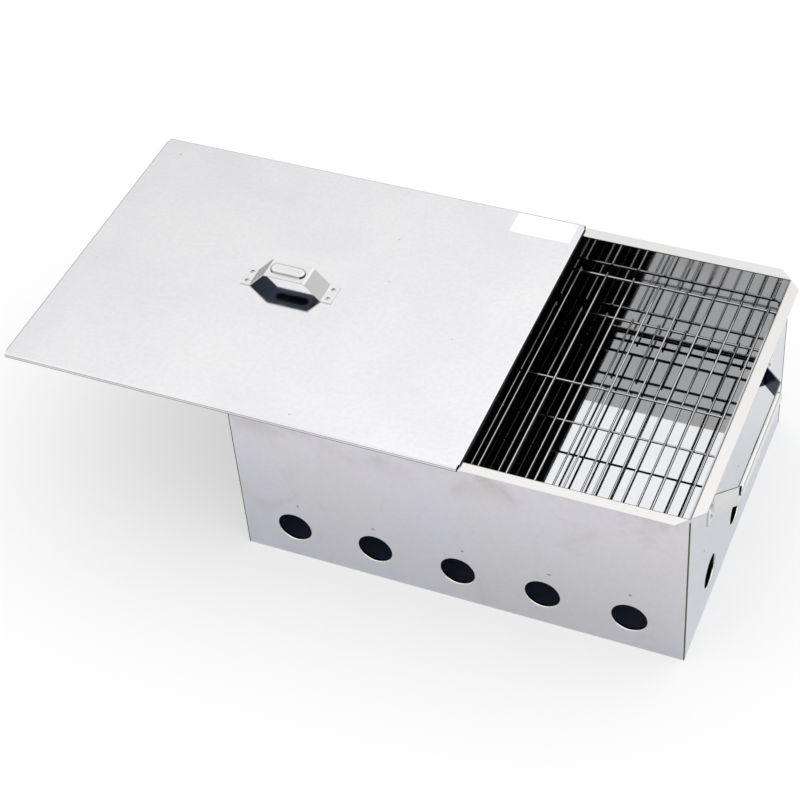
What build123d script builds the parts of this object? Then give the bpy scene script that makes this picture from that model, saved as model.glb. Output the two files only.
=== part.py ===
from build123d import *
from math import isclose
import os

# Smoker box of folded bright steel sheet, in millimetres.
# X runs along the long side, the front faces -Y, Z is up, and the origin is the middle of the underside.

# Box walls and floor
box_length = 600.0
box_depth = 440.0
box_height = 262.0
sheet = 1.0
bend_radius = 1.5
flange_width = 15.0
flange_taper = 15.0
corner_tab = 14.0
corner_relief = 6.0
floor_lip_height = 12.0

# Round vents, on the front wall and on both end walls
vent_diameter = 46.0
vent_height = 53.0
vent_collar = 3.0
vent_mouth_radius = 2.0
front_vent_count = 5
front_vent_margin = 72.0
end_vent_count = 3
end_vent_margin = 106.0

# Sliding lid, drawn where it stands half open
lid_length = 630.0
lid_centre_x = -297.0
lid_rise = 2.5
lid_side_clearance = 1.5
lid_under_clearance = 1.0
lid_fold_leg = 11.0
lid_fold_radius = 3.0
lid_lip_clearance = 0.3
lid_lip_overlap = 9.0
lid_lip_inset = 8.0

# Blank paper label on the lid
label_length = 85.0
label_width = 40.0
label_thickness = 0.2
label_corner_radius = 3.0
label_end_inset = 10.5
label_side_inset = 4.5

# Bent strap handles
strap_width = 33.0
strap_thickness = 1.5
strap_rise = 25.0
strap_run = 22.0
strap_bend_radius = 3.0
lid_handle_grip = 58.0
lid_handle_tab = 15.0
lid_handle_offset = -15.0
end_handle_grip = 190.0
end_handle_tab = 25.0
end_handle_height = 182.0
rib_end_margin = 4.0
rib_width = 18.0
rib_height = 4.0
rib_edge_radius = 3.5

# Blind rivets that hold the handles
rivet_diameter = 3.2
rivet_clearance = 0.05
rivet_head_diameter = 6.4
rivet_head_height = 1.1
rivet_pit_diameter = 1.8
rivet_pit_depth = 1.6
rivet_tail_diameter = 4.8
rivet_tail_length = 1.9
rivet_pitch = 18.0
rivet_dome_shares = (0.6, 0.7)

# Baffle plate between the fire space and the food
baffle_gap = 4.0
baffle_skirt = 10.0

# Wire grids, and the angle rails that carry them and the baffle plate
rail_sheet = 1.5
rail_ledge = 14.0
rail_leg = 12.0
rail_end_gap = 6.0
upper_rail_height = 207.7
lower_rail_height = 134.7
baffle_rail_height = 96.7
seat_gap = 0.3
grid_side_gap = 12.0
grid_end_gap = 5.0
edge_bar_diameter = 4.0
centre_bar_diameter = 3.0
wire_diameter = 3.0
wire_pitch = 37.0
wire_count = 16
wire_overhang = 3.0
weld_sink = 0.4

# How far every cutting tool runs past the sheet it cuts
cut_overrun = 4.0

# Places that follow from the sizes above
half_length = box_length / 2
half_depth = box_depth / 2
inner_half_length = half_length - sheet
inner_half_depth = half_depth - sheet
front_vent_pitch = (box_length - 2 * front_vent_margin) / (front_vent_count - 1)
end_vent_pitch = (box_depth - 2 * end_vent_margin) / (end_vent_count - 1)
flange_underside = box_height - sheet
outer_bend_radius = bend_radius + sheet
lid_underside = box_height + lid_rise
lid_top = lid_underside + sheet
lid_fold_bottom = flange_underside - lid_under_clearance - sheet
lid_half_width = half_depth + flange_width + lid_side_clearance + sheet
lid_right = lid_centre_x + lid_length / 2
lid_left = lid_centre_x - lid_length / 2
lid_handle_tab_centre = lid_handle_grip / 2 + strap_run + lid_handle_tab / 2
end_handle_tab_centre = end_handle_grip / 2 + strap_run + end_handle_tab / 2
rivet_reach = strap_thickness + sheet
end_rail_half = inner_half_depth - sheet - rail_end_gap
long_rail_half = inner_half_length - corner_tab - rail_end_gap
baffle_top = baffle_rail_height + seat_gap + baffle_skirt
lid_handle_seat = Plane((lid_centre_x + lid_handle_offset, 0, lid_top))
right_handle_seat = Plane((half_length, 0, end_handle_height), x_dir=(0, 1, 0), z_dir=(1, 0, 0))
left_handle_seat = Plane((-half_length, 0, end_handle_height), x_dir=(0, -1, 0), z_dir=(-1, 0, 0))


def row(count, pitch):
    """Places of a centred row."""
    return [(i - (count - 1) / 2) * pitch for i in range(count)]


def folded(points, radius, thickness, side):
    """Section of a folded sheet: one face follows the points, the other lies to one side of it."""
    face_line = FilletPolyline(*points, radius=radius)
    return make_face(offset(face_line, amount=thickness, side=side))


def cut_vents(wall, count, pitch):
    """Row of round vents low in a wall that faces +X, each drawn inwards to a short collar."""
    vent_radius = vent_diameter / 2
    collar_depth = sheet + vent_collar
    drawn = Pos(-collar_depth / 2, 0, 0) * Cylinder(vent_radius + sheet, collar_depth, rotation=(0, 90, 0))
    vent = Cylinder(vent_radius, 2 * (collar_depth + cut_overrun), rotation=(0, 90, 0))
    for y in row(count, pitch):
        place = Pos(0, y, vent_height)
        wall = wall + place * drawn - place * vent
    rims = wall.edges().filter_by(lambda edge: edge.geom_type == GeomType.CIRCLE)
    mouths = rims.filter_by(lambda edge: isclose(edge.radius, vent_radius)).group_by(Axis.X)[-1]
    return fillet(mouths, vent_mouth_radius)


def flanged_wall(half_width):
    """Wall that faces +X, with an outward top flange whose ends are cut back at an angle."""
    section = folded(
        [(0, 0), (0, flange_underside), (flange_width, flange_underside)],
        bend_radius,
        sheet,
        Side.LEFT,
    )
    wall = extrude(Plane.XZ * section, amount=half_width, both=True)
    edge_half = half_width - flange_taper
    plan = make_face(
        Polyline(
            (-sheet, -half_width),
            (0, -half_width),
            (flange_width, -edge_half),
            (flange_width, edge_half),
            (0, half_width),
            (-sheet, half_width),
            close=True,
        )
    )
    return wall & extrude(plan, amount=box_height)


def end_wall():
    """End wall that faces +X, its upright edges folded in behind the front and back walls."""
    tab_low = floor_lip_height + sheet
    tab_rise = flange_underside - corner_relief - tab_low
    wall = flanged_wall(inner_half_depth)
    bottom = (Align.CENTER, Align.CENTER, Align.MIN)
    bent_edge = Box(2 * cut_overrun, 2 * outer_bend_radius, tab_rise, align=bottom)
    for end in (-1, 1):
        wall = wall - Pos(0, end * inner_half_depth, tab_low) * bent_edge
    channel = folded(
        [
            (-corner_tab, -inner_half_depth),
            (0, -inner_half_depth),
            (0, inner_half_depth),
            (-corner_tab, inner_half_depth),
        ],
        outer_bend_radius,
        sheet,
        Side.LEFT,
    )
    wall = wall + Pos(0, 0, tab_low) * extrude(channel, amount=tab_rise)
    return cut_vents(wall, end_vent_count, end_vent_pitch)


def shallow_pan(pan_half_length, pan_half_depth, lip_height):
    """Sheet on Z = 0 with its four edges turned up."""
    pan = None
    for plane, across, along in (
        (Plane.XZ, pan_half_length, pan_half_depth),
        (Plane.YZ, pan_half_depth, pan_half_length),
    ):
        section = folded(
            [(-across, lip_height), (-across, 0), (across, 0), (across, lip_height)],
            outer_bend_radius,
            sheet,
            Side.LEFT,
        )
        tray = extrude(plane * section, amount=along - outer_bend_radius, both=True)
        pan = tray if pan is None else pan + tray
    return pan


def angle_rail(wall_inside, height, rail_half):
    """Angle rail on the inside of a wall that faces +X, its ledge facing inwards."""
    section = folded(
        [
            (wall_inside, height - rail_leg),
            (wall_inside, height),
            (wall_inside - rail_ledge, height),
        ],
        bend_radius + rail_sheet,
        rail_sheet,
        Side.LEFT,
    )
    return extrude(Plane.XZ * section, amount=rail_half, both=True)


def rivet_places(tab_centre):
    """Two rivets across each of a handle's two tabs."""
    return [(end * tab_centre, y) for end in (-1, 1) for y in row(2, rivet_pitch)]


def drill_rivets(part, seat, tab_centre):
    """Holes for one handle's rivets, in its own tabs or in the sheet under them."""
    drill = Cylinder(rivet_diameter / 2 + rivet_clearance, 2 * (rivet_reach + cut_overrun))
    for x, y in rivet_places(tab_centre):
        part = part - seat * Pos(x, y, 0) * drill
    return part


def blind_rivet():
    """Domed blind rivet with its head on Z = 0 and its shank and set tail below."""
    head = rivet_head_diameter / 2
    shank = rivet_diameter / 2
    tail = rivet_tail_diameter / 2
    pit = rivet_pit_diameter / 2
    pit_floor = rivet_head_height - rivet_pit_depth
    lowest = -rivet_reach - rivet_tail_length
    out_share, up_share = rivet_dome_shares
    dome = ThreePointArc(
        (pit, rivet_head_height),
        (pit + out_share * (head - pit), up_share * rivet_head_height),
        (head, 0),
    )
    shank_line = Polyline(
        (head, 0),
        (shank, 0),
        (shank, -rivet_reach),
        (tail, -rivet_reach),
        (tail, lowest),
        (0, lowest),
        (0, pit_floor),
        (pit, pit_floor),
        (pit, rivet_head_height),
    )
    return revolve(Plane.XZ * make_face([dome, shank_line]), Axis.Z)


def rivet_group(seat, tab_centre):
    """The four rivets of one handle."""
    rivet = Pos(0, 0, strap_thickness) * blind_rivet()
    return Compound([seat * Pos(x, y, 0) * rivet for x, y in rivet_places(tab_centre)])


def strap_handle(grip, tab):
    """Strap bent to a low arch on two tabs, with a pressed rib along its grip."""
    grip_half = grip / 2
    foot_half = grip_half + strap_run
    end_half = foot_half + tab
    under = strap_rise - strap_thickness
    section = folded(
        [
            (-end_half, 0),
            (-foot_half, 0),
            (-grip_half, under),
            (grip_half, under),
            (foot_half, 0),
            (end_half, 0),
        ],
        strap_bend_radius,
        strap_thickness,
        Side.LEFT,
    )
    strap = extrude(Plane.XZ * section, amount=strap_width / 2, both=True)
    rib_length = grip - 2 * rib_end_margin
    rib = extrude(SlotOverall(rib_length, rib_width), amount=strap_thickness + rib_height)
    rib = fillet(rib.faces().sort_by(Axis.Z)[-1].edges(), rib_edge_radius)
    groove_plan = SlotOverall(rib_length - 2 * strap_thickness, rib_width - 2 * strap_thickness)
    groove = extrude(groove_plan, amount=rib_height)
    groove = fillet(groove.faces().sort_by(Axis.Z)[-1].edges(), rib_edge_radius - strap_thickness)
    strap = strap + Pos(0, 0, under) * rib - Pos(0, 0, under) * groove
    return drill_rivets(strap, Plane.XY, foot_half + tab / 2)


def lid_sheet():
    """Lid plate with its long edges folded round the flanges and its ends turned down."""
    section = folded(
        [
            (lid_half_width - lid_fold_leg, lid_fold_bottom),
            (lid_half_width, lid_fold_bottom),
            (lid_half_width, lid_top),
            (-lid_half_width, lid_top),
            (-lid_half_width, lid_fold_bottom),
            (-lid_half_width + lid_fold_leg, lid_fold_bottom),
        ],
        lid_fold_radius,
        sheet,
        Side.LEFT,
    )
    plate_half = lid_length / 2 - outer_bend_radius
    lid = Pos(lid_centre_x, 0, 0) * extrude(Plane.YZ * section, amount=plate_half, both=True)
    for end, edge, lip_bottom, side in (
        (1, lid_right, box_height + lid_lip_clearance, Side.RIGHT),
        (-1, lid_left, lid_fold_bottom, Side.LEFT),
    ):
        lip = folded(
            [(edge - end * lid_lip_overlap, lid_top), (edge, lid_top), (edge, lip_bottom)],
            outer_bend_radius,
            sheet,
            side,
        )
        lid = lid + extrude(Plane.XZ * lip, amount=lid_half_width - lid_lip_inset, both=True)
    return drill_rivets(lid, lid_handle_seat, lid_handle_tab_centre)


def lid_label():
    """Blank label at the lid's back right corner."""
    x = lid_right - label_end_inset - label_length / 2
    y = lid_half_width - label_side_inset - label_width / 2
    outline = RectangleRounded(label_length, label_width, label_corner_radius)
    return Pos(x, y, lid_top) * extrude(outline, amount=label_thickness)


def grid_pieces(rail_height):
    """Edge bars, centre bar and cross wires of one grid, standing on the rails."""
    bar_z = rail_height + seat_gap + edge_bar_diameter / 2
    wire_z = bar_z + edge_bar_diameter / 2 + wire_diameter / 2 - weld_sink
    centre_bar_z = wire_z - wire_diameter / 2 - centre_bar_diameter / 2 + weld_sink
    edge_bar_y = inner_half_depth - grid_side_gap
    edge_bar = Cylinder(
        edge_bar_diameter / 2, 2 * (inner_half_length - grid_end_gap), rotation=(0, 90, 0)
    )
    wires_x = row(wire_count, wire_pitch)
    centre_bar = Cylinder(
        centre_bar_diameter / 2, wires_x[-1] - wires_x[0] + 2 * wire_overhang, rotation=(0, 90, 0)
    )
    wire = Cylinder(wire_diameter / 2, 2 * (edge_bar_y + wire_overhang), rotation=(90, 0, 0))
    return {
        "front_bar": Pos(0, -edge_bar_y, bar_z) * edge_bar,
        "centre_bar": Pos(0, 0, centre_bar_z) * centre_bar,
        "back_bar": Pos(0, edge_bar_y, bar_z) * edge_bar,
        "wires": Compound([Pos(x, 0, wire_z) * wire for x in wires_x]),
    }


nodes = {}
grid_rail_heights = {"upper": upper_rail_height, "lower": lower_rail_height}

# Box: two long walls, two end walls, the floor, and the rails inside the walls
long_wall = flanged_wall(half_length)
vented_wall = cut_vents(long_wall, front_vent_count, front_vent_pitch)
nodes["front_wall"] = Pos(0, -half_depth, 0) * Rot(0, 0, -90) * vented_wall
nodes["back_wall"] = Pos(0, half_depth, 0) * Rot(0, 0, 90) * long_wall
nodes["floor_pan"] = shallow_pan(inner_half_length, inner_half_depth, floor_lip_height)
for side_name, turn, seat in (("right", 0, right_handle_seat), ("left", 180, left_handle_seat)):
    wall = Rot(0, 0, turn) * Pos(half_length, 0, 0) * end_wall()
    nodes[f"{side_name}_end_wall"] = drill_rivets(wall, seat, end_handle_tab_centre)
    nodes[f"{side_name}_end_handle"] = seat * strap_handle(end_handle_grip, end_handle_tab)
    nodes[f"{side_name}_end_handle_rivets"] = rivet_group(seat, end_handle_tab_centre)
    for level, height in grid_rail_heights.items():
        rail = angle_rail(inner_half_length, height, end_rail_half)
        nodes[f"{level}_{side_name}_rail"] = Rot(0, 0, turn) * rail
for side_name, turn in (("front", -90), ("back", 90)):
    rail = angle_rail(inner_half_depth, baffle_rail_height, long_rail_half)
    nodes[f"baffle_{side_name}_rail"] = Rot(0, 0, turn) * rail

# Sliding lid with its handle and label
nodes["lid_sheet"] = lid_sheet()
nodes["lid_label"] = lid_label()
nodes["lid_handle"] = lid_handle_seat * strap_handle(lid_handle_grip, lid_handle_tab)
nodes["lid_handle_rivets"] = rivet_group(lid_handle_seat, lid_handle_tab_centre)

# Baffle plate, its edges turned down on to the front and back rails
baffle_sheet = shallow_pan(inner_half_length - baffle_gap, inner_half_depth - baffle_gap, baffle_skirt)
nodes["baffle_plate"] = Pos(0, 0, baffle_top) * Rot(180, 0, 0) * baffle_sheet

# Two alike grids, one above the other
for level in grid_rail_heights:
    for piece_name, piece in grid_pieces(grid_rail_heights[level]).items():
        nodes[f"{level}_grid_{piece_name}"] = piece

os.makedirs("parts", exist_ok=True)
for name, solid in nodes.items():
    export_step(solid, f"parts/{name}.step")
    print(name, len(solid.solids()), round(solid.volume, 1))
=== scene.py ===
# %% [markdown]
# # A folded-sheet smoker box, dressed in Blender
# The object is a long box of bright steel sheet with a lid that slides on its flanges, two wire grids
# and a baffle plate inside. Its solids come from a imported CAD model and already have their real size.
# This lesson adds what CAD leaves out: the finish of each surface, the welds, the light and the camera.
# The CAD solids are loaded first and are never moved, so everything else is measured from them.

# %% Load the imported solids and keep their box
import math

import bpy
from mathutils import Matrix, Vector


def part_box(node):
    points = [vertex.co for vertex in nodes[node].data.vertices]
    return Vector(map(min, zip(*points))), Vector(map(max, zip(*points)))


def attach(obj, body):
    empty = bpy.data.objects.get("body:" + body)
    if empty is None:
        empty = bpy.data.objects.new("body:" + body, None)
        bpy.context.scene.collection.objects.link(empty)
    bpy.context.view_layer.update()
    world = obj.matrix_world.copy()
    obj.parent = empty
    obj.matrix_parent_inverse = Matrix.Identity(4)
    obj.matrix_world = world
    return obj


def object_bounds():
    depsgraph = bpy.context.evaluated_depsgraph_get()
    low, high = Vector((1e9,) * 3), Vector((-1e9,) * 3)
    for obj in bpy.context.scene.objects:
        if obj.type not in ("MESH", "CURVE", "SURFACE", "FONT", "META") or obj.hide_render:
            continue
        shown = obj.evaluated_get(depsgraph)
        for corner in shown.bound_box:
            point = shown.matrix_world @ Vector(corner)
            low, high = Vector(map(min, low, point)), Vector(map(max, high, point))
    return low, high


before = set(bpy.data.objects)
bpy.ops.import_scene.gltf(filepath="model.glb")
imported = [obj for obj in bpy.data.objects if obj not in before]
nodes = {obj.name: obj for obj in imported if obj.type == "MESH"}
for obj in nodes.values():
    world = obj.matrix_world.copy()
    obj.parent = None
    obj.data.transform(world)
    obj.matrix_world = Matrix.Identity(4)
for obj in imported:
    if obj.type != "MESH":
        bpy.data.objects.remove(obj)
cad_low, cad_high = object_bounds()
scene = bpy.context.scene
mm = 0.001
print("CAD box, mm:", [round(side / mm, 1) for side in cad_high - cad_low])

# %% [markdown]
# ## Small tools for node trees
# Every finish below is a node tree, and so is every row of welds. Building trees in code is clearer with
# a few helpers. The first ones add a node, join two sockets and start a group with named sockets. A group
# is made once and then placed in many materials with other values. The rest make the nodes that come up
# again and again: sums, steps, mixes and the three axes of a place.

# %% Helpers that add nodes, links and group sockets
def add(tree, kind, inputs=None, **settings):
    """New node with its properties and unlinked inputs set."""
    node = tree.nodes.new(kind)
    for name, value in settings.items():
        setattr(node, name, value)
    for name, value in (inputs or {}).items():
        node.inputs[name].default_value = value
    return node


def join(tree, source, target):
    """Link from an output socket to an input socket."""
    tree.links.new(source, target)


def feed(tree, value, target):
    """Input socket joined to another socket, or set to a plain value."""
    if isinstance(value, bpy.types.NodeSocket):
        join(tree, value, target)
    else:
        target.default_value = value


def new_group(kind, name, inputs, outputs):
    """Empty node group with named sockets, and its input and output nodes."""
    tree = bpy.data.node_groups.new(name, kind)
    for direction, sockets in (("INPUT", inputs), ("OUTPUT", outputs)):
        for socket_name, socket_type, default in sockets:
            socket = tree.interface.new_socket(socket_name, in_out=direction, socket_type=socket_type)
            if default is not None:
                socket.default_value = default
    return tree, tree.nodes.new("NodeGroupInput"), tree.nodes.new("NodeGroupOutput")


print("helpers that add, join and feed are ready")

# %% Helpers for sums, steps, mixes and axes
def math_node(tree, operation, *values):
    """Math node on sockets or numbers; returns its output."""
    node = add(tree, "ShaderNodeMath", operation=operation)
    for socket, value in zip(node.inputs, values):
        feed(tree, value, socket)
    return node.outputs[0]


def ramp(tree, value, low, high, to_low=0.0, to_high=1.0, curve="SMOOTHSTEP"):
    """Step of a value from one range to another, smooth or linear; returns its output."""
    node = add(tree, "ShaderNodeMapRange", interpolation_type=curve)
    limits = {"Value": value, "From Min": low, "From Max": high, "To Min": to_low, "To Max": to_high}
    for name, limit in limits.items():
        feed(tree, limit, node.inputs[name])
    return node.outputs["Result"]


def mix(tree, kind, share, first, second):
    """Mix of two colours or two numbers, each a socket or a plain value; returns its output."""
    node = add(tree, "ShaderNodeMix", data_type=kind)
    first_input, output = {"RGBA": (6, 2), "FLOAT": (2, 0)}[kind]
    for index, value in ((0, share), (first_input, first), (first_input + 1, second)):
        feed(tree, value, node.inputs[index])
    return node.outputs[output]


def axes_of(tree, place):
    """X, Y and Z outputs of a place or a direction."""
    node = add(tree, "ShaderNodeSeparateXYZ")
    join(tree, place, node.inputs[0])
    return node.outputs


print("helpers for sums, steps, mixes and axes are ready")

# %% [markdown]
# ## The rolled face of the sheet
# Cold-rolled stainless sheet is bright but never perfect. The rolls leave a faint grain along the sheet,
# the tone drifts in wide clouds and fine mottles, and the panels are not quite flat, so reflections wobble.
# All four are noise at different sizes, read from Object coordinates so that they stay on a moving piece.
# One shader group gives the four values, and each material decides how much of them it shows.

# %% Shader group: rolled sheet
FLOAT, VECTOR = "NodeSocketFloat", "NodeSocketVector"
ALONG_GRAIN = (60.0, 900.0, 900.0)
ACROSS_GRAIN = (900.0, 60.0, 900.0)


def noise(tree, place, scale, detail, roughness=0.5, distortion=0.0):
    """Noise texture at a place socket; returns its value."""
    values = {"Detail": detail, "Roughness": roughness, "Distortion": distortion}
    node = add(tree, "ShaderNodeTexNoise", values)
    join(tree, place, node.inputs["Vector"])
    feed(tree, scale, node.inputs["Scale"])
    return node.outputs[0]


def stretched(tree, place, stretch):
    """Place socket times a stretch socket, axis by axis."""
    node = add(tree, "ShaderNodeVectorMath", operation="MULTIPLY")
    join(tree, place, node.inputs[0])
    join(tree, stretch, node.inputs[1])
    return node.outputs[0]


def make_rolled_sheet():
    """Group that gives the grain, clouds, mottles and waves of a rolled sheet."""
    tree, given, out = new_group(
        "ShaderNodeTree",
        "rolled_sheet",
        [
            ("Place", VECTOR, None),
            ("Grain stretch", VECTOR, ALONG_GRAIN),
            ("Cloud scale", FLOAT, 7.0),
            ("Mottle scale", FLOAT, 170.0),
            ("Wave scale", FLOAT, 9.0),
        ],
        [("Grain", FLOAT, None), ("Cloud", FLOAT, None), ("Mottle", FLOAT, None), ("Wave", FLOAT, None)],
    )
    place = given.outputs["Place"]
    grain_place = stretched(tree, place, given.outputs["Grain stretch"])
    grain = noise(tree, grain_place, scale=1.0, detail=3.0, roughness=0.6)
    clouds = noise(tree, place, given.outputs["Cloud scale"], detail=3.0, roughness=0.55, distortion=0.4)
    mottles = noise(tree, place, given.outputs["Mottle scale"], detail=2.0, roughness=0.6)
    waves = noise(tree, place, given.outputs["Wave scale"], detail=1.0)
    join(tree, grain, out.inputs["Grain"])
    join(tree, ramp(tree, clouds, low=0.3, high=0.7), out.inputs["Cloud"])
    join(tree, ramp(tree, mottles, low=0.35, high=0.65), out.inputs["Mottle"])
    join(tree, waves, out.inputs["Wave"])
    return tree


rolled_sheet = make_rolled_sheet()
print("group", rolled_sheet.name, "with", len(rolled_sheet.nodes), "nodes")

# %% [markdown]
# ## Marks of handling and smoke
# Hands, packing and stacking leave soft smudges, small dark specks and hair-fine scratches. The smudges
# are wide noise with its peaks cut out. The specks are the centres of a few Voronoi cells. The scratches
# are the crests of noise that is stretched until it turns into threads, in two directions. Smoke that
# leaks out below the lid leaves brown blotches on the walls, which fade out downwards from the flange;
# the same blotches are also painted shade under the flange.

# %% Shader groups: smudges with specks, and scratches
def make_handling_marks():
    """Group that gives masks of smudges and of specks."""
    tree, given, out = new_group(
        "ShaderNodeTree",
        "handling_marks",
        [("Place", VECTOR, None), ("Smudge scale", FLOAT, 14.0), ("Speck scale", FLOAT, 38.0)],
        [("Smudge", FLOAT, None), ("Speck", FLOAT, None)],
    )
    clean_cells = 0.72
    place = given.outputs["Place"]
    peaks = noise(tree, place, given.outputs["Smudge scale"], detail=4.0, roughness=0.55, distortion=0.8)
    join(tree, ramp(tree, peaks, low=0.56, high=0.74), out.inputs["Smudge"])
    cells = add(tree, "ShaderNodeTexVoronoi", {"Randomness": 1.0})
    join(tree, place, cells.inputs["Vector"])
    join(tree, given.outputs["Speck scale"], cells.inputs["Scale"])
    centre = ramp(tree, cells.outputs["Distance"], low=0.03, high=0.07, to_low=1.0, to_high=0.0)
    chosen = math_node(tree, "GREATER_THAN", cells.outputs["Color"], clean_cells)
    join(tree, math_node(tree, "MULTIPLY", centre, chosen), out.inputs["Speck"])
    return tree


def make_fine_scratches():
    """Group that gives a mask of scratches in two directions."""
    tree, given, out = new_group(
        "ShaderNodeTree",
        "fine_scratches",
        [
            ("Place", VECTOR, None),
            ("Along", VECTOR, (5.0, 700.0, 700.0)),
            ("Across", VECTOR, (700.0, 9.0, 9.0)),
        ],
        [("Scratch", FLOAT, None)],
    )
    crests = []
    for name in ("Along", "Across"):
        thread_place = stretched(tree, given.outputs["Place"], given.outputs[name])
        threads = noise(tree, thread_place, scale=1.0, detail=2.0)
        crests.append(ramp(tree, threads, low=0.66, high=0.74))
    join(tree, math_node(tree, "MAXIMUM", *crests), out.inputs["Scratch"])
    return tree


handling_marks = make_handling_marks()
fine_scratches = make_fine_scratches()
print("groups", handling_marks.name, "and", fine_scratches.name)

# %% Shader group: smoke stains and painted shade below the flange
def make_smoke_stains_and_shade():
    """Group that gives a mask of blotches that fade out downwards."""
    tree, given, out = new_group(
        "ShaderNodeTree",
        "smoke_stains_and_shade",
        [("Place", VECTOR, None), ("Lowest", FLOAT, 0.2), ("Highest", FLOAT, 0.26), ("Scale", FLOAT, 15.0)],
        [("Stain and shade", FLOAT, None)],
    )
    place = given.outputs["Place"]
    fade = ramp(tree, axes_of(tree, place)["Z"], given.outputs["Lowest"], given.outputs["Highest"])
    wisps = noise(tree, place, given.outputs["Scale"], detail=4.0, roughness=0.6, distortion=0.3)
    blotches = ramp(tree, wisps, low=0.44, high=0.74)
    join(tree, math_node(tree, "MULTIPLY", fade, blotches), out.inputs["Stain and shade"])
    return tree


smoke_stains_and_shade = make_smoke_stains_and_shade()
print("group", smoke_stains_and_shade.name, "with", len(smoke_stains_and_shade.nodes), "nodes")

# %% [markdown]
# ## The inner side of a sheet, and patches
# The polished side of the sheet faces outwards. The side that turns away from the sky gets painted shade in
# its colour and a duller polish: the underside of the lid and of the baffle, the inside of the handles, the
# sides and undersides of the wires and the end lips of the lid. The inside of the walls is a clearer mirror
# than the outside, with a darker painted-shade tone. One group serves all of them: it compares the surface
# normal with the direction that counts as outwards. A second group marks a patch by its place: the painted
# shade in the upright corner seams, the low zone of the vents and the black painted shade of the groove
# under a handle's rib. It folds the place over to its positive side first, so that one patch serves both
# ends of the box.

# %% Shader groups: inner side and patch
def make_inner_side():
    """Group that gives a mask of the faces that turn away from a direction."""
    tree, given, out = new_group(
        "ShaderNodeTree",
        "inner_side",
        [("Normal", VECTOR, None), ("Outwards", VECTOR, (0.0, 0.0, 1.0)), ("Turn", FLOAT, -0.2)],
        [("Inner", FLOAT, None)],
    )
    softness = 0.1
    facing = add(tree, "ShaderNodeVectorMath", operation="DOT_PRODUCT")
    join(tree, given.outputs["Normal"], facing.inputs[0])
    join(tree, given.outputs["Outwards"], facing.inputs[1])
    past_turn = math_node(tree, "SUBTRACT", facing.outputs["Value"], given.outputs["Turn"])
    join(tree, ramp(tree, past_turn, -softness, softness, to_low=1.0, to_high=0.0), out.inputs["Inner"])
    return tree


def make_patch():
    """Group that gives a mask of what lies inside a box, on either side of each axis."""
    tree, given, out = new_group(
        "ShaderNodeTree",
        "patch",
        [("Place", VECTOR, None), ("Middle", VECTOR, None), ("Half size", VECTOR, None)],
        [("Patch", FLOAT, None)],
    )
    reach = given.outputs["Place"]
    for operation, name in (
        ("ABSOLUTE", None),
        ("SUBTRACT", "Middle"),
        ("ABSOLUTE", None),
        ("SUBTRACT", "Half size"),
    ):
        step = add(tree, "ShaderNodeVectorMath", operation=operation)
        join(tree, reach, step.inputs[0])
        if name:
            join(tree, given.outputs[name], step.inputs[1])
        reach = step.outputs[0]
    axes = axes_of(tree, reach)
    furthest = math_node(tree, "MAXIMUM", axes["X"], axes["Y"])
    furthest = math_node(tree, "MAXIMUM", furthest, axes["Z"])
    join(tree, math_node(tree, "LESS_THAN", furthest, 0.0), out.inputs["Patch"])
    return tree


inner_side = make_inner_side()
patch = make_patch()
print("groups", inner_side.name, "and", patch.name)

# %% [markdown]
# ## One recipe for every steel finish
# All the sheet pieces are the same metal and differ only in polish, tone and wear. So one function lays
# out the tree: clouds and mottles tint the colour, smudges stain it, scratches roughen it, specks darken
# it, and two bump steps bend the reflections, one for the wavy panel and one for the grain. A value that
# is the same all over a piece is set on the shader itself, because only what changes needs a link.

# %% Helpers that start a material
def new_material(name):
    """Material with its node tree and its shader."""
    material = bpy.data.materials.new(name)
    material.use_nodes = True
    return material, material.node_tree, material.node_tree.nodes["Principled BSDF"]


def object_place(tree):
    """Object coordinates, which stay on a piece when it moves."""
    return add(tree, "ShaderNodeTexCoord").outputs["Object"]


def place_group(tree, group, values, place=None):
    """Group node in a material, with its own values and a place."""
    node = add(tree, "ShaderNodeGroup", values, node_tree=group)
    if place:
        join(tree, place, node.inputs["Place"])
    return node


def bump(tree, height, distance, below=None):
    """Normal bent by a height, on top of another normal if there is one."""
    node = add(tree, "ShaderNodeBump", {"Strength": 1.0, "Distance": distance})
    join(tree, height, node.inputs["Height"])
    if below:
        join(tree, below, node.inputs["Normal"])
    return node.outputs["Normal"]


def grey(level, tint=0.0):
    """Colour of a steel of that reflectance; a positive tint is lavender, a negative one straw."""
    red_loss, green_loss = 0.3 * tint, 0.5 * tint
    return (level * (1 - red_loss), level * (1 - green_loss), level * (1 + tint), 1.0)


print("a plain grey:", grey(0.5))

# %% Function for a steel finish
MOTTLE_GREY = grey(0.3)
SMUDGE_BROWN = (0.42, 0.36, 0.34, 1.0)
SPECK_DARK = grey(0.08)


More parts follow.
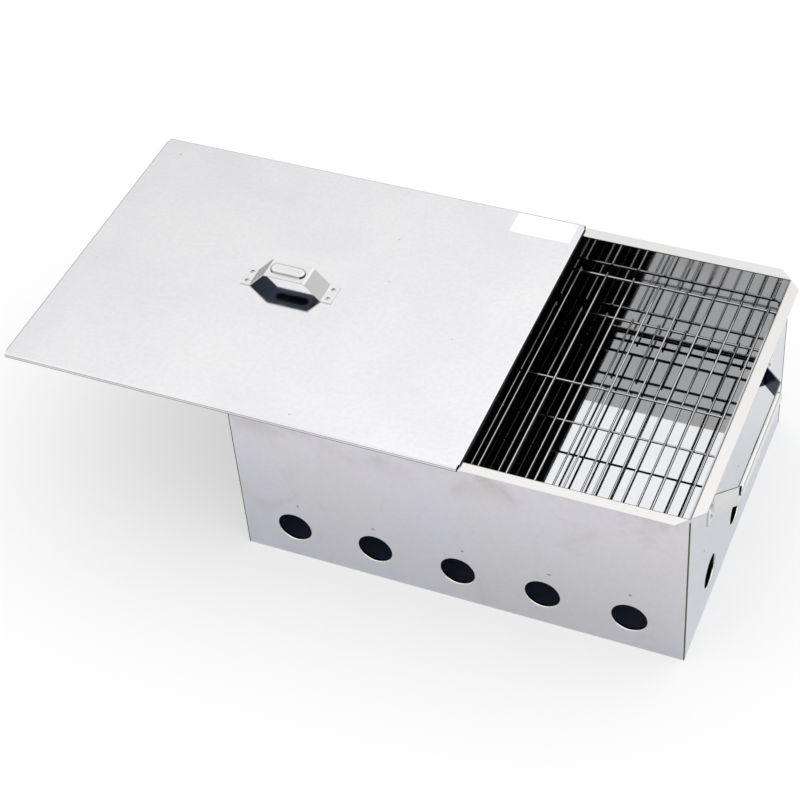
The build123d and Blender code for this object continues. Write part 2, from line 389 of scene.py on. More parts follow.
def steel(
    name,
    tones,
    polish,
    smudge_dulling=0.05,
    stain=0.0,
    mottle=0.05,
    grain_stretch=ALONG_GRAIN,
    cloud_scale=7.0,
    wave_height=0.05 * mm,
    grain_height=0.002 * mm,
    speck_darkness=0.35,
    metal=1.0,
):
    """Steel finish of two drifting tones, with a polish and marks."""
    material, tree, shader = new_material(name)
    shader.inputs["Metallic"].default_value = metal
    place = object_place(tree)
    sheet_values = {"Grain stretch": grain_stretch, "Cloud scale": cloud_scale}
    sheet = place_group(tree, rolled_sheet, sheet_values, place)
    marks = place_group(tree, handling_marks, {}, place)
    scratches = place_group(tree, fine_scratches, {}, place)

    colour = mix(tree, "RGBA", sheet.outputs["Cloud"], *tones)
    for mask, strength, other in (
        (sheet.outputs["Mottle"], mottle, MOTTLE_GREY),
        (marks.outputs["Smudge"], stain, SMUDGE_BROWN),
        (marks.outputs["Speck"], speck_darkness, SPECK_DARK),
    ):
        if strength:
            colour = mix(tree, "RGBA", math_node(tree, "MULTIPLY", mask, strength), colour, other)
    join(tree, colour, shader.inputs["Base Color"])
    worn = polish + smudge_dulling
    dulled = mix(tree, "FLOAT", marks.outputs["Smudge"], polish, worn)
    join(tree, mix(tree, "FLOAT", scratches.outputs["Scratch"], dulled, worn), shader.inputs["Roughness"])

    wavy = bump(tree, sheet.outputs["Wave"], wave_height)
    join(tree, bump(tree, sheet.outputs["Grain"], grain_height, wavy), shader.inputs["Normal"])
    return material


print("recipe ready")

# %% [markdown]
# ## Layers over a finish
# Some places on a piece look different from the rest, such as an inner side, a seam or a rim. Each is a
# layer of another colour and polish, laid over the finish wherever a mask is 1. Most masks come from the
# last two groups, and two masks that are multiplied keep only what they share. The order counts: a layer
# covers the ones that were laid before it.

# %% Functions for masks and layers
def lay_over(material, mask, colour, polish):
    """Another colour and polish over a finish wherever a mask is 1."""
    tree = material.node_tree
    shader = tree.nodes["Principled BSDF"]
    for name, kind, value in (("Base Color", "RGBA", colour), ("Roughness", "FLOAT", polish)):
        below = shader.inputs[name].links[0].from_socket
        join(tree, mix(tree, kind, mask, below, value), shader.inputs[name])


def inner_mask(material, outwards, turn):
    """Mask of the faces whose normal has a cosine below a turn with a direction."""
    tree = material.node_tree
    side = place_group(tree, inner_side, {"Outwards": outwards, "Turn": turn})
    join(tree, add(tree, "ShaderNodeTexCoord").outputs["Normal"], side.inputs["Normal"])
    return side.outputs["Inner"]


def add_inner_side(material, outwards, colour, polish, turn=-0.2):
    """Another colour and polish on the side that faces away from a direction."""
    lay_over(material, inner_mask(material, outwards, turn), colour, polish)


def patch_mask(material, low, high):
    """Mask of what lies between two corners, given on the positive side of every axis."""
    tree = material.node_tree
    values = {"Middle": (low + high) / 2, "Half size": (high - low) / 2}
    return place_group(tree, patch, values, object_place(tree)).outputs["Patch"]


print("masks and layers ready")

# %% [markdown]
# ## Wall finishes
# The walls were handled more than the lid and look softer. Below the flange they have brown blotches,
# partly smoke stains and partly painted shade under the flange, and a blue-grey painted shade grows towards
# the foot. The flange tops get a warm painted sheen, and the upright corner seams get painted shade. The die
# drew the vents inwards: the upward faces of their collars are painted black as shade inside the holes, and
# their lower rims get a painted highlight where they face the sky. The rims are found by two directions at
# once: they face half upwards and half outwards.

# %% Colours, polishes and places on the walls
# A layer is a colour with its polish, a turn is a cosine, and FAR is a place beyond every wall
WALL_POLISH = 0.09
# Inside faces of the walls: a clearer mirror, with a darker tone that is painted shade of the closed box
INSIDE_MIRROR_SHADE = grey(0.42), 0.04
# Painted shade that grows towards the foot of the walls, darker and bluer
FOOT_PAINTED_SHADE = (0.33, 0.36, 0.42, 1.0), 0.1
# Brown blotches below the flange: smoke stains, and painted shade under the flange as well
SMOKE_STAIN_AND_SHADE = (0.36, 0.3, 0.26, 1.0), 0.2
# Warm, lighter painted sheen on the upward faces of the walls, the flange tops
FLANGE_PAINTED_SHEEN = (0.675, 0.668, 0.655, 1.0), 0.1
# Black painted shade on the upward faces inside the vents
VENT_PAINTED_SHADE = (0.006, 0.006, 0.007, 1.0), 0.6
# Painted highlight on the lower vent rims, where they face the sky
RIM_PAINTED_HIGHLIGHT = (0.8, 0.785, 0.75, 1.0), 0.12
# Painted shade in the bends of the upright corners
SEAM_PAINTED_SHADE = grey(0.06, -0.2), 0.4
SMOKE_AND_SHADE_SHARE = 0.45
FLANGE_SHEEN_SHARE = 0.85
INSIDE_TURN = 0.2
FLANGE_TURN = -0.5
RIM_TURN = -0.3
UP = Vector((0, 0, 1))
FAR = 1.0
box_half_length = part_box("front_wall")[1].x
end_half_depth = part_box("right_end_wall")[1].y
wall_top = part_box("front_wall")[1].z
bend = 2.5 * mm
long_seam = 1.2 * mm
seam_drop = 7 * mm
seam_top = wall_top - seam_drop
smoke_and_shade_reach = 80 * mm
foot_shade_reach = 225 * mm
vents_top = 90 * mm
print("wall top, mm:", round(wall_top / mm, 1), "seam top, mm:", round(seam_top / mm, 1))

# %% Make the wall finishes
def wall_finish(name, outwards, tones, grain_stretch, seam_width, foot_shade_share):
    """Wall sheet with smoke stains, and painted shade and painted highlights on its inside, foot, flange,
    vents and seams.
    """
    material = steel(name, tones, WALL_POLISH, stain=0.2, grain_stretch=grain_stretch, cloud_scale=3.0)
    tree = material.node_tree
    place = object_place(tree)
    foot_shade = ramp(tree, axes_of(tree, place)["Z"], 0.0, foot_shade_reach, foot_shade_share, 0.0, curve="LINEAR")
    lay_over(material, foot_shade, *FOOT_PAINTED_SHADE)
    add_inner_side(material, outwards, *INSIDE_MIRROR_SHADE, turn=INSIDE_TURN)

    smoke_and_shade_values = {"Lowest": wall_top - smoke_and_shade_reach, "Highest": wall_top}
    smoke_and_shade = place_group(tree, smoke_stains_and_shade, smoke_and_shade_values, place).outputs["Stain and shade"]
    lay_over(material, math_node(tree, "MULTIPLY", smoke_and_shade, SMOKE_AND_SHADE_SHARE), *SMOKE_STAIN_AND_SHADE)
    flange_sheen = inner_mask(material, -UP, FLANGE_TURN)
    lay_over(material, math_node(tree, "MULTIPLY", flange_sheen, FLANGE_SHEEN_SHARE), *FLANGE_PAINTED_SHEEN)

    low_down = patch_mask(material, Vector((0, 0, 0)), Vector((FAR, FAR, vents_top)))
    collar_shade = math_node(tree, "MULTIPLY", inner_mask(material, -UP, RIM_TURN), low_down)
    lay_over(material, collar_shade, *VENT_PAINTED_SHADE)
    inwards = [-side for side in outwards]
    rim_highlight = math_node(tree, "MULTIPLY", collar_shade, inner_mask(material, inwards, RIM_TURN))
    lay_over(material, rim_highlight, *RIM_PAINTED_HIGHLIGHT)

    seam_low = Vector((box_half_length - seam_width, end_half_depth - bend, 0))
    lay_over(material, patch_mask(material, seam_low, Vector((FAR, FAR, seam_top))), *SEAM_PAINTED_SHADE)
    return material


long_tones = (grey(0.65, 0.06), (0.64, 0.622, 0.634, 1.0))
# The end walls are toned darker and bluer than the long walls: painted shade on the same steel
end_shade_tones = ((0.535, 0.548, 0.605, 1.0), (0.515, 0.53, 0.58, 1.0))
long_wall = {"tones": long_tones, "grain_stretch": ALONG_GRAIN, "seam_width": long_seam, "foot_shade_share": 0.34}
end_wall = {"tones": end_shade_tones, "grain_stretch": ACROSS_GRAIN, "seam_width": bend, "foot_shade_share": 0.1}
wall_steels = {
    "front_wall": wall_finish("front_wall_steel", (0, -1, 0), **long_wall),
    "back_wall": wall_finish("back_wall_steel", (0, 1, 0), **long_wall),
    "right_end_wall": wall_finish("right_wall_steel", (1, 0, 0), **end_wall),
    "left_end_wall": wall_finish("left_wall_steel", (-1, 0, 0), **end_wall),
}
print("wall finishes:", sorted(wall_steels))

# %% [markdown]
# ## Lid, baffle plate, floor pan, rails and wires
# The lid lies flat under the sky and is the palest piece. Its underside and the lower bend of its folds get
# painted shade, and the lips at its two ends are painted black as the shade of the gap over the flanges.
# The baffle plate stays almost mirror-bright, which is why the inside of the box shows so many reflections,
# and its underside gets painted shade. The wires are bright along their tops only: their sides and
# undersides are painted shade. The floor pan under the fire is dark blue and hardly a mirror, a painted
# shade of the closed space that the vents look into.

# %% Make the other sheet and wire finishes
UNDERSIDE_SHADE = grey(0.07, 0.1), 0.4
LIP_SHADE = grey(0.05), 0.5
WIRE_SHADE = grey(0.03), 0.3
lid_tones = (grey(0.71, 0.01), grey(0.68, 0.02))
baffle_tones = ((0.62, 0.635, 0.66, 1.0), (0.59, 0.6, 0.62, 1.0))
# Dark blue tones of the floor pan: painted shade of the closed fire space seen through the vents
pan_shade_tones = ((0.08, 0.105, 0.2, 1.0), (0.12, 0.14, 0.22, 1.0))
rail_tones = (grey(0.5), grey(0.45))
wire_tones = (grey(0.54), grey(0.46))

lid_steel = steel("lid_steel", lid_tones, polish=0.1, smudge_dulling=0.06)
# Painted shade on the lid's underside and the lower bend of its folds
add_inner_side(lid_steel, UP, *UNDERSIDE_SHADE, turn=-0.12)
# The lid's end lips are painted black as shade, for the dark gap over the flanges
for lip_side in ((-1, 0, 0), (1, 0, 0)):
    add_inner_side(lid_steel, lip_side, *LIP_SHADE, turn=-0.5)
baffle_steel = steel("baffle_steel", baffle_tones, polish=0.03, smudge_dulling=0.03)
# Painted shade on the baffle's underside
add_inner_side(baffle_steel, UP, *UNDERSIDE_SHADE)
pan_steel = steel("pan_steel", pan_shade_tones, polish=0.45, metal=0.25)
rail_steel = steel("rail_steel", rail_tones, polish=0.28, grain_stretch=ACROSS_GRAIN)
wire_marks = {"cloud_scale": 40.0, "wave_height": 0.0, "speck_darkness": 0.5}
wire_steel = steel("wire_steel", wire_tones, polish=0.12, **wire_marks)
# Painted shade on the sides and undersides of the wires
add_inner_side(wire_steel, UP, *WIRE_SHADE, turn=0.7)
print("finishes:", [m.name for m in (lid_steel, baffle_steel, pan_steel, rail_steel, wire_steel)])

# %% [markdown]
# ## Handles, rivets and welds
# Each handle is one polished strap whose inside gets a dark teal painted shade, and the rib pressed into its
# grip is a hollow on that side, too deep for light to reach. So the hollow gets a black patch of painted
# shade, measured from the handle's own box. The rivets, weld nuggets and weld marks are small, so their
# clouds are small as well.

# %% Make the handle finishes
# Painted shade on the inside of the straps
STRAP_INSIDE_SHADE = (0.055, 0.07, 0.1, 1.0), 0.3
GROOVE_BLACK = (0.004, 0.004, 0.006, 1.0), 0.5
GROOVE_TURN = 0.3
strap_tones = (grey(0.7), grey(0.64))
rib_depth = 5.2 * mm
rib_skin = 1.2 * mm
groove_half_width = 8.2 * mm
groove_end = 35.0 * mm


def groove_corners(name, out_axis):
    """Corners of the straight part of the groove under a strap's rib, folded to the positive side."""
    low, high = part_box(name)
    along_axis = 0 if out_axis == 2 else 1
    across_axis = 3 - out_axis - along_axis
    middle = Vector([abs(side) for side in (low + high) / 2])
    half = (high - low) / 2
    half[along_axis] -= groove_end
    half[across_axis] = groove_half_width
    groove_low, groove_high = middle - half, middle + half
    outermost = max(abs(low[out_axis]), abs(high[out_axis]))
    groove_low[out_axis] = outermost - rib_depth
    groove_high[out_axis] = outermost - rib_skin
    return groove_low, groove_high


def strap_finish(name, outwards):
    """Polished strap with painted shade on its inside and black painted shade in the groove under its rib."""
    material = steel(name + "_steel", strap_tones, polish=0.1)
    add_inner_side(material, outwards, *STRAP_INSIDE_SHADE)
    out_axis = [abs(side) for side in outwards].index(1)
    in_groove = patch_mask(material, *groove_corners(name, out_axis))
    turned_in = inner_mask(material, outwards, GROOVE_TURN)
    lay_over(material, math_node(material.node_tree, "MULTIPLY", in_groove, turned_in), *GROOVE_BLACK)
    return material


strap_outwards = {"lid_handle": (0, 0, 1), "right_end_handle": (1, 0, 0), "left_end_handle": (-1, 0, 0)}
strap_steels = {name: strap_finish(name, outwards) for name, outwards in strap_outwards.items()}
print("handle finishes:", sorted(strap_steels))

# %% Make the finishes of rivets and welds
rivet_aluminium = steel("rivet_aluminium", (grey(0.5), grey(0.44)), polish=0.25, cloud_scale=300.0)
weld_steel = steel("weld_steel", (grey(0.4), grey(0.26, -0.05)), polish=0.34, cloud_scale=260.0)
mark_steel = steel("mark_steel", (grey(0.36), grey(0.24)), polish=0.4, cloud_scale=260.0)
# The mandrel ends are nearly black: painted shade of the rivet pits
mandrel_pit_shade = steel("mandrel_pit_shade", (grey(0.06), grey(0.03)), polish=0.5, cloud_scale=400.0)
print("finishes:", [m.name for m in (rivet_aluminium, weld_steel, mark_steel, mandrel_pit_shade)])

# %% [markdown]
# ## The paper label
# A blank white label sticks to the lid's back right corner. Paper is never one flat white: short fibres
# make it slightly cloudy and rough, and its varnish gives it a weak gloss. Two noises of different size
# are enough, one for the tone and one, stretched, for the fibres in the gloss and the bump.

# %% Make the label's finish
paper_whites = ((0.93, 0.93, 0.93, 1.0), (0.9, 0.9, 0.9, 1.0))
fibre_height = 0.01 * mm


def paper(name):
    """White paper with fine fibres."""
    material, tree, shader = new_material(name)
    sheet_values = {"Grain stretch": (900.0, 2400.0, 900.0), "Cloud scale": 60.0, "Wave scale": 25.0}
    sheet = place_group(tree, rolled_sheet, sheet_values, object_place(tree))
    fibres = sheet.outputs["Grain"]
    gloss = ramp(tree, fibres, low=0.3, high=0.7, to_low=0.36, to_high=0.5)
    join(tree, mix(tree, "RGBA", sheet.outputs["Cloud"], *paper_whites), shader.inputs["Base Color"])
    join(tree, gloss, shader.inputs["Roughness"])
    join(tree, bump(tree, fibres, fibre_height), shader.inputs["Normal"])
    return material


label_paper = paper("label_paper")
print("label finish:", label_paper.name)

# %% [markdown]
# ## Give each solid its finish
# A CAD node keeps its mesh, and only its material slots change. The node's name says what it is, so a
# short table from name to finish covers all of them, and the rails, rivets and wires are found by the
# end of their names.

# %% Assign the finishes
finish_of = {
    **wall_steels,
    "floor_pan": pan_steel,
    "baffle_plate": baffle_steel,
    "lid_sheet": lid_steel,
    "lid_label": label_paper,
    **strap_steels,
}
finish_of_ending = {"_rail": rail_steel, "_rivets": rivet_aluminium, "_bar": wire_steel, "_wires": wire_steel}
for name, solid in nodes.items():
    endings = [finish for ending, finish in finish_of_ending.items() if name.endswith(ending)]
    solid.data.materials.clear()
    solid.data.materials.append(finish_of.get(name) or endings[0])
print("dressed solids:", len(nodes))

# %% [markdown]
# ## From a Geometry Nodes tree to a plain piece
# Welds repeat, and so do the broken ends of the mandrels in the rivets, so Geometry Nodes make them. Every
# such tree ends alike: the new instances are joined to what came in, realised as one mesh, smoothed and
# given their finish. A modifier runs the tree once for each row of sizes, and each input is set by its
# socket's identifier. The result is then copied into a plain mesh, so that the piece can ride on its body
# like any other.

# %% Helpers that end a tree and make its result plain
def identifiers(tree):
    """Socket identifiers of a tree's inputs by name."""
    return {s.name: s.identifier for s in tree.interface.items_tree if s.in_out == "INPUT"}


def finish_tree(tree, instances, given, out):
    """New instances beside what came in, realised as one smooth mesh in its finish."""
    both = add(tree, "GeometryNodeJoinGeometry")
    join(tree, given.outputs["Geometry"], both.inputs["Geometry"])
    join(tree, instances, both.inputs["Geometry"])
    real = add(tree, "GeometryNodeRealizeInstances")
    join(tree, both.outputs["Geometry"], real.inputs["Geometry"])
    smooth = add(tree, "GeometryNodeSetShadeSmooth")
    join(tree, real.outputs["Geometry"], smooth.inputs["Geometry"])
    dressed = add(tree, "GeometryNodeSetMaterial")
    join(tree, smooth.outputs["Geometry"], dressed.inputs["Geometry"])
    join(tree, given.outputs["Finish"], dressed.inputs["Material"])
    join(tree, dressed.outputs["Geometry"], out.inputs["Geometry"])


def grown(name, tree, rows, finish):
    """Plain mesh object made by one modifier for each row of input values."""
    seed_object = bpy.data.objects.new(name + "_seed", bpy.data.meshes.new(name + "_seed"))
    scene.collection.objects.link(seed_object)
    sockets = identifiers(tree)
    for row in rows:
        modifier = seed_object.modifiers.new("row", "NODES")
        modifier.node_group = tree
        for socket_name, value in {**row, "Finish": finish}.items():
            modifier[sockets[socket_name]] = value
    depsgraph = bpy.context.evaluated_depsgraph_get()
    mesh = bpy.data.meshes.new_from_object(seed_object.evaluated_get(depsgraph))
    mesh.name = name
    bpy.data.objects.remove(seed_object)
    piece = bpy.data.objects.new(name, mesh)
    scene.collection.objects.link(piece)
    return piece


print("tree helpers ready")

# %% [markdown]
# ## Weld nuggets of the grids
# Each grid is held together by small resistance welds, one wherever a cross wire lies on a bar. They are
# all alike and sit on a regular net of points, so the tree is a grid of points with a flattened ball on
# each, in a slightly random size. The places are read from the solids.

# %% Geometry Nodes tree for a net of weld nuggets
WHOLE, GEOMETRY, MATERIAL = "NodeSocketInt", "NodeSocketGeometry", "NodeSocketMaterial"


def make_nugget_net():
    """Tree that puts a flattened ball on each point of a net."""
    tree, given, out = new_group(
        "GeometryNodeTree",
        "weld_nugget_net",
        [
            ("Geometry", GEOMETRY, None),
            ("Wires", WHOLE, 16),
            ("Bars", WHOLE, 3),
            ("Span along", FLOAT, 0.5),
            ("Span across", FLOAT, 0.4),
            ("Middle", VECTOR, None),
            ("Turn", VECTOR, None),
            ("Nugget size", VECTOR, None),
            ("Seed", WHOLE, 3),
            ("Finish", MATERIAL, None),
        ],
        [("Geometry", GEOMETRY, None)],
    )
    size_spread = 0.15
    net = add(tree, "GeometryNodeMeshGrid")
    for name, socket in (
        ("Span along", "Size X"),
        ("Span across", "Size Y"),
        ("Wires", "Vertices X"),
        ("Bars", "Vertices Y"),
    ):
        join(tree, given.outputs[name], net.inputs[socket])
    turn = add(tree, "FunctionNodeEulerToRotation")
    join(tree, given.outputs["Turn"], turn.inputs[0])
    raised = add(tree, "GeometryNodeTransform")
    join(tree, net.outputs["Mesh"], raised.inputs["Geometry"])
    join(tree, given.outputs["Middle"], raised.inputs["Translation"])
    join(tree, turn.outputs[0], raised.inputs["Rotation"])
    ball = add(tree, "GeometryNodeMeshUVSphere", {"Segments": 10, "Rings": 6, "Radius": 1.0})
    # The random node keeps the limits of its float in inputs 2 and 3, and the float in output 1
    spread = add(tree, "FunctionNodeRandomValue", data_type="FLOAT")
    spread.inputs[2].default_value = 1.0 - size_spread
    spread.inputs[3].default_value = 1.0 + size_spread
    join(tree, given.outputs["Seed"], spread.inputs["Seed"])
    size = add(tree, "ShaderNodeVectorMath", operation="SCALE")
    join(tree, given.outputs["Nugget size"], size.inputs[0])
    join(tree, spread.outputs[1], size.inputs["Scale"])
    nuggets = add(tree, "GeometryNodeInstanceOnPoints")
    join(tree, raised.outputs["Geometry"], nuggets.inputs["Points"])
    join(tree, ball.outputs["Mesh"], nuggets.inputs["Instance"])
    join(tree, size.outputs["Vector"], nuggets.inputs["Scale"])
    finish_tree(tree, nuggets.outputs["Instances"], given, out)
    return tree


nugget_net = make_nugget_net()
print("tree", nugget_net.name, "inputs:", list(identifiers(nugget_net)))

# %% Weld both grids
wire_count = 16
bar_count = 3
nugget_size = Vector((2.3, 2.6, 1.15)) * mm


def grid_row(level, seed):
    """Input values for the weld nuggets of one grid."""
    wires_low, wires_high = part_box(f"{level}_grid_wires")
    front_low, front_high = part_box(f"{level}_grid_front_bar")
    back_low, back_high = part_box(f"{level}_grid_back_bar")
    wire_diameter = wires_high.z - wires_low.z
    return {
        "Wires": wire_count,
        "Bars": bar_count,
        "Span along": wires_high.x - wires_low.x - wire_diameter,
        "Span across": (back_low.y + back_high.y - front_low.y - front_high.y) / 2,
        "Middle": Vector((0, 0, (wires_low.z + front_high.z) / 2)),
        "Turn": Vector((0, 0, 0)),
        "Nugget size": nugget_size,
        "Seed": seed,
    }


for seed, level in enumerate(("upper", "lower")):
    welds = grown(f"{level}_grid_welds", nugget_net, [grid_row(level, seed)], weld_steel)
    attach(welds, f"{level}_grid")
    print(welds.name, "faces:", len(welds.data.polygons))

# %% [markdown]
# ## Mandrel ends in the rivets
# A blind rivet is set by pulling a steel mandrel until it snaps, and its broken end stays in the pit of the
# head. Here that end is nearly black, a painted shade of the pit, and from a step away it is all that one
# sees of a rivet on bright steel. Each handle has four rivets on a net of two by two points, so the same
# tree makes them, turned upright for the handles on the ends.

# %% Put mandrel ends into the rivets
head_diameter = 6.4 * mm
mandrel_radius = 1.35 * mm
mandrel_height = 0.3 * mm
mandrel_sink = 0.1 * mm
mandrel_seed = 1
rivets_a_side = 2
quarter = math.pi / 2


def mandrel_row(rivets, out_axis, out_side, turn):
    """Input values for the four mandrel ends of one handle."""
    low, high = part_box(rivets)
    middle = (low + high) / 2
    middle[out_axis] = (high if out_side > 0 else low)[out_axis] - out_side * mandrel_sink
    along, across = [axis for axis in range(3) if axis != out_axis]
    size = Vector((mandrel_radius, mandrel_radius, mandrel_radius))
    size[out_axis] = mandrel_height
    return {
        "Wires": rivets_a_side,
        "Bars": rivets_a_side,
        "Span along": high[along] - low[along] - head_diameter,
        "Span across": high[across] - low[across] - head_diameter,
        "Middle": middle,
        "Turn": Vector(turn),
        "Nugget size": size,
        "Seed": mandrel_seed,
    }


flat = (0, 0, 0)
upright = (quarter, 0, quarter)
mandrel_rows = {
    "lid": [mandrel_row("lid_handle_rivets", 2, 1, flat)],
    "box": [
        mandrel_row("right_end_handle_rivets", 0, 1, upright),
        mandrel_row("left_end_handle_rivets", 0, -1, upright),
    ],
}
for body, rows in mandrel_rows.items():
    ends = grown(f"{body}_mandrel_ends", nugget_net, rows, mandrel_pit_shade)
    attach(ends, body)
    print(ends.name, "faces:", len(ends.data.polygons))

# %% [markdown]
# ## Spot-weld marks on the walls
# The rails inside the box are spot-welded through the walls, and every weld leaves a small dark dimple
# on the outside. They come in rows, on the front wall one mark roughly above each vent, set by hand and so
# never quite regular. Another tree makes one row with a seeded drift, and a modifier for each row adds it
# to the mesh.

# %% Geometry Nodes tree for a row of spot-weld marks
def make_mark_row():
    """Tree that puts a flat dot on each point of a drifting row."""
    tree, given, out = new_group(
        "GeometryNodeTree",
        "spot_weld_row",
        [
            ("Geometry", GEOMETRY, None),
            ("Count", WHOLE, 5),
            ("Pitch", FLOAT, 0.1),
            ("Drift", FLOAT, 0.004),
            ("Middle", VECTOR, None),
            ("Turn", VECTOR, None),
            ("Mark size", VECTOR, None),
            ("Seed", WHOLE, 5),
            ("Finish", MATERIAL, None),
        ],
        [("Geometry", GEOMETRY, None)],
    )
    drift_shares = Vector((1.0, 0.5, 0.0))
    step = add(tree, "ShaderNodeCombineXYZ")
    join(tree, given.outputs["Pitch"], step.inputs["X"])
    # A row of n marks starts (1 - n) / 2 steps from its middle
    first_step = math_node(tree, "MULTIPLY_ADD", given.outputs["Count"], -0.5, 0.5)
    start = add(tree, "ShaderNodeVectorMath", operation="SCALE")
    join(tree, step.outputs[0], start.inputs[0])
    join(tree, first_step, start.inputs["Scale"])
    line = add(tree, "GeometryNodeMeshLine")
    join(tree, given.outputs["Count"], line.inputs["Count"])
    join(tree, start.outputs["Vector"], line.inputs["Start Location"])
    join(tree, step.outputs[0], line.inputs["Offset"])
    # The random node keeps the limits of its vector in inputs 0 and 1, and the vector in output 0
    spread = add(tree, "FunctionNodeRandomValue", data_type="FLOAT_VECTOR")
    spread.inputs[0].default_value = -drift_shares
    spread.inputs[1].default_value = drift_shares
    join(tree, given.outputs["Seed"], spread.inputs["Seed"])
    drift = add(tree, "ShaderNodeVectorMath", operation="SCALE")
    join(tree, spread.outputs[0], drift.inputs[0])
    join(tree, given.outputs["Drift"], drift.inputs["Scale"])
    drifted = add(tree, "GeometryNodeSetPosition")
    join(tree, line.outputs["Mesh"], drifted.inputs["Geometry"])
    join(tree, drift.outputs["Vector"], drifted.inputs["Offset"])
    dot = add(tree, "GeometryNodeMeshUVSphere", {"Segments": 14, "Rings": 6, "Radius": 1.0})
    marks = add(tree, "GeometryNodeInstanceOnPoints")
    join(tree, drifted.outputs["Geometry"], marks.inputs["Points"])
    join(tree, dot.outputs["Mesh"], marks.inputs["Instance"])
    join(tree, given.outputs["Mark size"], marks.inputs["Scale"])
    turn = add(tree, "FunctionNodeEulerToRotation")
    join(tree, given.outputs["Turn"], turn.inputs[0])
    placed = add(tree, "GeometryNodeTransform")
    join(tree, marks.outputs["Instances"], placed.inputs["Geometry"])
    join(tree, given.outputs["Middle"], placed.inputs["Translation"])
    join(tree, turn.outputs[0], placed.inputs["Rotation"])
    finish_tree(tree, placed.outputs["Geometry"], given, out)
    return tree


mark_row = make_mark_row()
print("tree", mark_row.name, "inputs:", list(identifiers(mark_row)))

# %% Mark the walls where the rails are welded
sheet_thickness = 1.0 * mm
mark_size = Vector((1.9, 1.9, 0.12)) * mm
baffle_row = {"Count": 5, "Pitch": 114 * mm, "Drift": 6 * mm, "Mark size": mark_size}
grid_rail_row = {"Count": 3, "Pitch": 150 * mm, "Drift": 4 * mm, "Mark size": mark_size}
baffle_row_shift = 6 * mm
baffle_row_drop = 2 * mm
front_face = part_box("left_end_wall")[0].y - sheet_thickness
end_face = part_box("right_end_handle")[0].x
baffle_row_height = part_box("baffle_front_rail")[1].z - baffle_row_drop
mark_rows = []
for seed, side in ((4, 1), (5, -1)):
    middle = Vector((baffle_row_shift, side * front_face, baffle_row_height))
    turn = Vector((side * quarter, 0, 0))
    mark_rows.append({**baffle_row, "Middle": middle, "Turn": turn, "Seed": seed})
for seed, level, side in ((9, "upper", 1), (10, "upper", -1), (11, "lower", 1), (12, "lower", -1)):
    rail_low, rail_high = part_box(f"{level}_right_rail")
    middle = Vector((side * end_face, 0, (rail_low.z + rail_high.z) / 2))
    turn = Vector((quarter, 0, side * quarter))
    mark_rows.append({**grid_rail_row, "Middle": middle, "Turn": turn, "Seed": seed})
rail_marks = grown("rail_spot_welds", mark_row, mark_rows, mark_steel)
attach(rail_marks, "box")
print(rail_marks.name, "rows:", len(mark_rows), "faces:", len(rail_marks.data.polygons))

# %% [markdown]
# ## Light
# Bright steel is made of what it reflects, so the light is the scene. The sky is a smooth dome, dim towards
# the horizon, brightest half way up, softer overhead and a little brighter on the right: the lid and the
# flange mirror its bright belt, and the slanted legs of the handle mirror its rim. There are no lamps,
# because a lamp would show as a hard spot on the sheet. The camera itself sees a plain white backdrop.

# %% Build the sky
WHITE = (1.0, 1.0, 1.0, 1.0)
sky_rise = 2.0
sky_fall = 1.7
sky_fall_start = 2.85
sky_right_gain = 0.3
sky_dimmest = 0.5
backdrop_level = 1.0


def make_sky():
    """Sky that climbs by one slope from the horizon and falls by another towards the top."""
    sky = bpy.data.worlds.new("studio_sky")
    sky.use_nodes = True
    tree = sky.node_tree
    direction = axes_of(tree, add(tree, "ShaderNodeTexCoord").outputs["Generated"])
    rising = math_node(tree, "MULTIPLY", direction["Z"], sky_rise)
    loss = math_node(tree, "MULTIPLY", direction["Z"], sky_fall)
    falling = math_node(tree, "SUBTRACT", sky_fall_start, loss)
    belt = math_node(tree, "MINIMUM", rising, falling)
    to_the_right = math_node(tree, "MULTIPLY", direction["X"], sky_right_gain)
    level = math_node(tree, "MAXIMUM", math_node(tree, "ADD", belt, to_the_right), sky_dimmest)
    seen = add(tree, "ShaderNodeLightPath").outputs["Is Camera Ray"]
    background = tree.nodes["Background"]
    background.inputs["Color"].default_value = WHITE
    join(tree, mix(tree, "FLOAT", seen, level, backdrop_level), background.inputs["Strength"])
    return sky


scene.world = make_sky()
scene.view_settings.view_transform = "Standard"
print("sky:", scene.world.name)

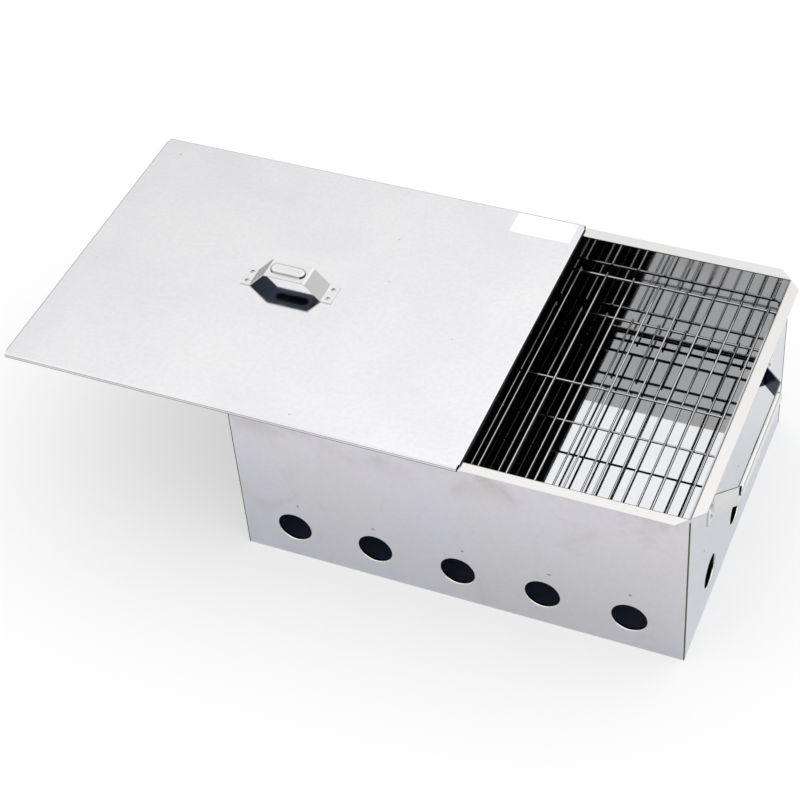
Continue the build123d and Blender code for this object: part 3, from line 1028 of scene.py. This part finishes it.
# %% [markdown]
# ## Floor
# The box stands on a plain pale floor. It is part of the light as well: the upright walls mirror it, so its
# paleness sets how bright the front of the box looks. It glows a little, like the light tables that products
# are photographed on, which keeps the shadow beside the box soft.

# %% Lay the floor
floor_half = 12.0
floor_values = {
    "Base Color": (0.5, 0.5, 0.5, 1.0),
    "Emission Color": WHITE,
    "Emission Strength": 0.45,
    "Roughness": 0.9,
    "Specular IOR Level": 0.0,
}


def make_floor():
    """Square floor at the height of the object's underside."""
    mesh = bpy.data.meshes.new("floor")
    corners = ((-1, -1), (1, -1), (1, 1), (-1, 1))
    points = [(x * floor_half, y * floor_half, cad_low.z) for x, y in corners]
    mesh.from_pydata(points, [], [(0, 1, 2, 3)])
    material, _, shader = new_material("floor_white")
    for name, value in floor_values.items():
        shader.inputs[name].default_value = value
    mesh.materials.append(material)
    floor = bpy.data.objects.new("floor", mesh)
    scene.collection.objects.link(floor)
    return floor


floor = make_floor()
print("floor at", round(cad_low.z, 4), "m")

# %% [markdown]
# ## Camera
# The photograph was taken from the front right, well above the box and slightly rolled. The camera's
# angles, place and focal length follow from the box's known corners, so the render lines up with it.

# %% Place the camera
picture_width = 800
focal_pixels = 2069.768
sensor_width = 36.0
camera_place = Vector((0.71692502, -1.78079156, 2.05684559))
azimuth, elevation, roll = (math.radians(angle) for angle in (26.40714, 44.54239, -5.40644))


def make_camera():
    """Camera that looks along its azimuth and elevation, rolled about its own axis."""
    back = Vector(
        (
            math.sin(azimuth) * math.cos(elevation),
            -math.cos(azimuth) * math.cos(elevation),
            math.sin(elevation),
        )
    )
    level_right = (-back).cross(UP).normalized()
    level_up = level_right.cross(-back)
    right = math.cos(roll) * level_right + math.sin(roll) * level_up
    up = math.cos(roll) * level_up - math.sin(roll) * level_right
    data = bpy.data.cameras.new("camera")
    data.sensor_width = sensor_width
    data.lens = focal_pixels * sensor_width / picture_width
    camera = bpy.data.objects.new("camera", data)
    scene.collection.objects.link(camera)
    placed = Matrix((right, up, back)).transposed().to_4x4()
    placed.translation = camera_place
    camera.matrix_world = placed
    return camera


scene.camera = make_camera()
print("lens, mm:", round(scene.camera.data.lens, 2))
